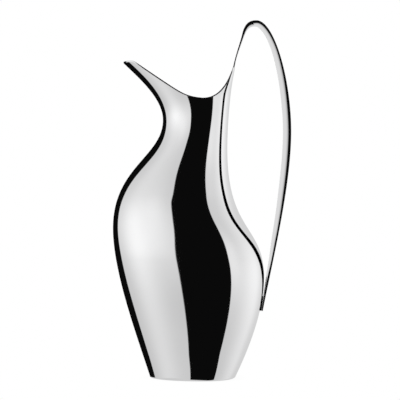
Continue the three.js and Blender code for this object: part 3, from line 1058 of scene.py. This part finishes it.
def build_studio():
    """Two large soft panels either side of a dark gap, under a dark ceiling, as the world."""
    world = bpy.data.worlds.new("studio")
    bpy.context.scene.world = world
    world.use_nodes = True
    tree = world.node_tree
    tree.nodes.clear()
    sums = NodeMaths(tree)
    where = tree.nodes.new("ShaderNodeTexCoord")
    split = tree.nodes.new("ShaderNodeSeparateXYZ")
    tree.links.new(where.outputs["Generated"], split.inputs["Vector"])
    x, y, z = split.outputs
    degrees = 180 / math.pi
    azimuth = sums.do("MULTIPLY", sums.do("ARCTAN2", x, sums.do("MULTIPLY", y, -1.0)), degrees)
    elevation = sums.do("MULTIPLY", sums.do("ARCSINE", z), degrees)

    def both(one, other):
        return sums.do("MULTIPLY", one, other)

    def panel(even, spots):
        light = even
        for spot, across, above in spots:
            if across:
                spot = both(spot, sums.bell(azimuth, *across))
            if above:
                spot = both(spot, sums.bell(elevation, *above))
            light = sums.do("ADD", light, spot)
        return light

    leant = azimuth
    for start, end, lean in GAP_LEANS:
        leant = sums.do("SUBTRACT", leant, sums.ramp(elevation, start, end, 0.0, lean))
    left = both(sums.ramp(leant, *LEFT_NEAR_EDGE, 1.0, 0.0), sums.ramp(azimuth, *LEFT_FAR_EDGE))
    left_light = panel(*LEFT_PANEL)
    right = sums.ramp(azimuth, *RIGHT_NEAR_EDGE)
    right_light = sums.do("ADD", panel(*RIGHT_PANEL), sums.ramp(azimuth, *RIGHT_FADE))
    panels = sums.do("ADD", both(left, left_light), both(right, right_light))
    panels = both(panels, sums.ramp(elevation, *CEILING_EDGE, 1.0, 0.0))
    pool = sums.ramp(elevation, *POOL_EDGE, POOL_LIGHT, 0.0)
    light = sums.do("ADD", sums.do("MAXIMUM", panels, pool), DARK_LIGHT)

    seen = tree.nodes.new("ShaderNodeLightPath")
    studio = tree.nodes.new("ShaderNodeBackground")
    backdrop = tree.nodes.new("ShaderNodeBackground")
    for shader in (studio, backdrop):
        shader.inputs["Color"].default_value = (1.0, 1.0, 1.0, 1.0)
    # The silver gives back a little less than it gets, so the light makes up for it.
    tree.links.new(sums.do("DIVIDE", light, finish().silver[0]), studio.inputs["Strength"])
    backdrop.inputs["Strength"].default_value = stage().background
    choose = tree.nodes.new("ShaderNodeMixShader")
    tree.links.new(seen.outputs["Is Camera Ray"], choose.inputs["Fac"])
    tree.links.new(studio.outputs["Background"], choose.inputs[1])
    tree.links.new(backdrop.outputs["Background"], choose.inputs[2])
    output = tree.nodes.new("ShaderNodeOutputWorld")
    tree.links.new(choose.outputs["Shader"], output.inputs["Surface"])


def glow_material(name, strength):
    """A plain light of even brightness: the material, its node tree and the light's node."""
    material = bpy.data.materials.new(name)
    material.use_nodes = True
    tree = material.node_tree
    tree.nodes.clear()
    glow = tree.nodes.new("ShaderNodeEmission")
    glow.inputs["Strength"].default_value = strength
    output = tree.nodes.new("ShaderNodeOutputMaterial")
    tree.links.new(glow.outputs["Emission"], output.inputs["Surface"])
    return material, tree, glow, output


def reflections_only(item):
    """Keep a stage item out of everything but reflections."""
    item.visible_camera = False
    item.visible_diffuse = False
    item.visible_shadow = False


def build_floor():
    """A plain pale floor that fades into the backdrop, with a painted contact shadow near the pitcher."""
    half = FLOOR_HALF
    corners = [(-half, -half, 0), (half, -half, 0), (half, half, 0), (-half, half, 0)]
    mesh = bpy.data.meshes.new("floor")
    mesh.from_pydata(corners, [], [(0, 1, 2, 3)])
    floor = add_object("floor", mesh)
    floor.visible_glossy = False
    material, tree, glow, _ = glow_material("pale_floor_painted_contact_shadow", 1.0)
    # Painted contact shadow: the floor's glow drops where ambient occlusion finds the pitcher close by.
    shade = tree.nodes.new("ShaderNodeAmbientOcclusion")
    shade.inputs["Distance"].default_value = CONTACT_REACH
    tone = tree.nodes.new("ShaderNodeMapRange")
    tone.inputs["From Min"].default_value = CONTACT_OPEN
    tone.inputs["To Min"].default_value = CONTACT_LIGHT
    tone.inputs["To Max"].default_value = stage().background
    tree.links.new(shade.outputs["AO"], tone.inputs["Value"])
    tree.links.new(tone.outputs["Result"], glow.inputs["Strength"])
    mesh.materials.append(material)


def build_reflection_glow_disc():
    """A pale glowing disc under the pitcher, seen only in the reflections of its bottom edge: a painted
    pale reflection there.
    """
    s = shape()
    bpy.ops.mesh.primitive_circle_add(
        vertices=64, radius=s.base_length / 2 + MAT_EDGE, fill_type="NGON",
        location=(s.base_centre, 0, -MAT_DROP),
    )
    mat = bpy.context.object
    mat.name = "mat"
    mat.data.materials.append(glow_material("painted_reflection_glow", REFLECTION_GLOW_LIGHT)[0])
    reflections_only(mat)


def one_sided(name, low, high):
    """A card's front, its light rising from near to far across the handle, with a clear back."""
    material, tree, glow, output = glow_material(name, low)
    nodes = tree.nodes
    where = nodes.new("ShaderNodeTexCoord")
    split = nodes.new("ShaderNodeSeparateXYZ")
    side = nodes.new("ShaderNodeNewGeometry")
    clear = nodes.new("ShaderNodeBsdfTransparent")
    choose = nodes.new("ShaderNodeMixShader")
    rise = NodeMaths(tree).ramp(split.outputs["Y"], *CARD_RISE, low, high)
    for source, target in (
        (where.outputs["Object"], split.inputs["Vector"]),
        (rise, glow.inputs["Strength"]),
        (side.outputs["Backfacing"], choose.inputs["Fac"]),
        (glow.outputs["Emission"], choose.inputs[1]),
        (clear.outputs["BSDF"], choose.inputs[2]),
        (choose.outputs["Shader"], output.inputs["Surface"]),
    ):
        tree.links.new(source, target)
    return material


def build_card(name, material, handle, cross, faces_body):
    """A card along the inside of the handle's loop, seen only in reflections."""
    first, last = (int(share * HANDLE_STATIONS) for share in CARD_SHARES)
    rows = [cross(handle.ring(index)) for index in range(first, last, CARD_STEP)]
    points = [tuple(point) for row in rows for point in row]
    width = len(rows[0])
    faces = []
    for start in range(width, len(points), width):
        for step in range(1, width):
            a = start + step
            face = (a - width - 1, a - width, a, a - 1)
            faces.append(face if faces_body else face[::-1])
    mesh = bpy.data.meshes.new(name)
    mesh.from_pydata(points, [], faces)
    mesh.materials.append(material)
    reflections_only(add_object(name, mesh))


def build_cards():
    """A black card round the handle that the body sees, and a pale one that the handle sees."""
    s = stage()
    handle = Handle(Body(shape()))

    def sleeve(ring):
        return [point + normal * SLEEVE_GAP for point, normal in ring[:HANDLE_STRIPS + 1:4]]

    def screen(ring):
        point, normal = ring[HANDLE_STRIPS // 2]
        middle = point + normal * SCREEN_GAP
        near = ring[0][0].y - s.card_near
        step = (s.card_far - near) / CARD_COLUMNS
        return [Vector((middle.x, near + step * column, middle.z)) for column in range(CARD_COLUMNS + 1)]

    build_card("black_card", one_sided("black_card", 0.0, 0.0), handle, sleeve, True)
    build_card("pale_card", one_sided("pale_card", s.card_low, s.card_high), handle, screen, False)


def build_camera():
    """A level camera, square to the pitcher's side."""
    s = stage()
    data = bpy.data.cameras.new("camera")
    data.sensor_width = 36.0
    data.lens = data.sensor_width * s.camera_distance / s.view_width
    data.clip_end = 50.0
    camera = add_object("camera", data)
    camera.location = (s.camera_side, -s.camera_distance, s.camera_height)
    camera.rotation_euler = (math.pi / 2, 0, 0)
    bpy.context.scene.camera = camera


class PITCHER_OT_stage(bpy.types.Operator):
    """Set the camera, the floor and the soft studio light"""

    bl_idname = "pitcher.stage"
    bl_label = "Stage"

    def execute(self, context):
        build_camera()
        build_studio()
        build_floor()
        build_reflection_glow_disc()
        build_cards()
        view = context.scene.view_settings
        view.view_transform = "Standard"
        view.look = "None"
        return {"FINISHED"}


# ------------------------------------------------------------------ panel and registration

class PITCHER_PT_panel(bpy.types.Panel):
    """Buttons for each piece, in the 3D view's sidebar"""

    bl_idname = "PITCHER_PT_panel"
    bl_label = "Water pitcher"
    bl_space_type = "VIEW_3D"
    bl_region_type = "UI"
    bl_category = "Pitcher"

    def draw(self, context):
        for operator in STEPS:
            self.layout.operator(operator.bl_idname)
        for group in ("pitcher_shape", "pitcher_finish", "pitcher_stage"):
            settings = getattr(context.scene, group)
            for name in settings.__annotations__:
                self.layout.prop(settings, name)


GROUPS = {"pitcher_shape": PitcherShape, "pitcher_finish": PitcherFinish, "pitcher_stage": PitcherStage}
STEPS = (
    PITCHER_OT_stage,
    PITCHER_OT_shells,
    PITCHER_OT_base_plate,
    PITCHER_OT_handle,
    PITCHER_OT_foot_fillet,
)


def register():
    for name, group in GROUPS.items():
        bpy.utils.register_class(group)
        setattr(bpy.types.Scene, name, bpy.props.PointerProperty(type=group))
    for operator in STEPS:
        bpy.utils.register_class(operator)
    bpy.utils.register_class(PITCHER_PT_panel)


def unregister():
    bpy.utils.unregister_class(PITCHER_PT_panel)
    for operator in reversed(STEPS):
        bpy.utils.unregister_class(operator)
    for name, group in GROUPS.items():
        delattr(bpy.types.Scene, name)
        bpy.utils.unregister_class(group)


def main():
    register()
    bpy.ops.pitcher.stage()
    bpy.ops.pitcher.shells()
    bpy.ops.pitcher.base_plate()
    bpy.ops.pitcher.handle()
    bpy.ops.pitcher.foot_fillet()


if __name__ == "__main__":
    main()
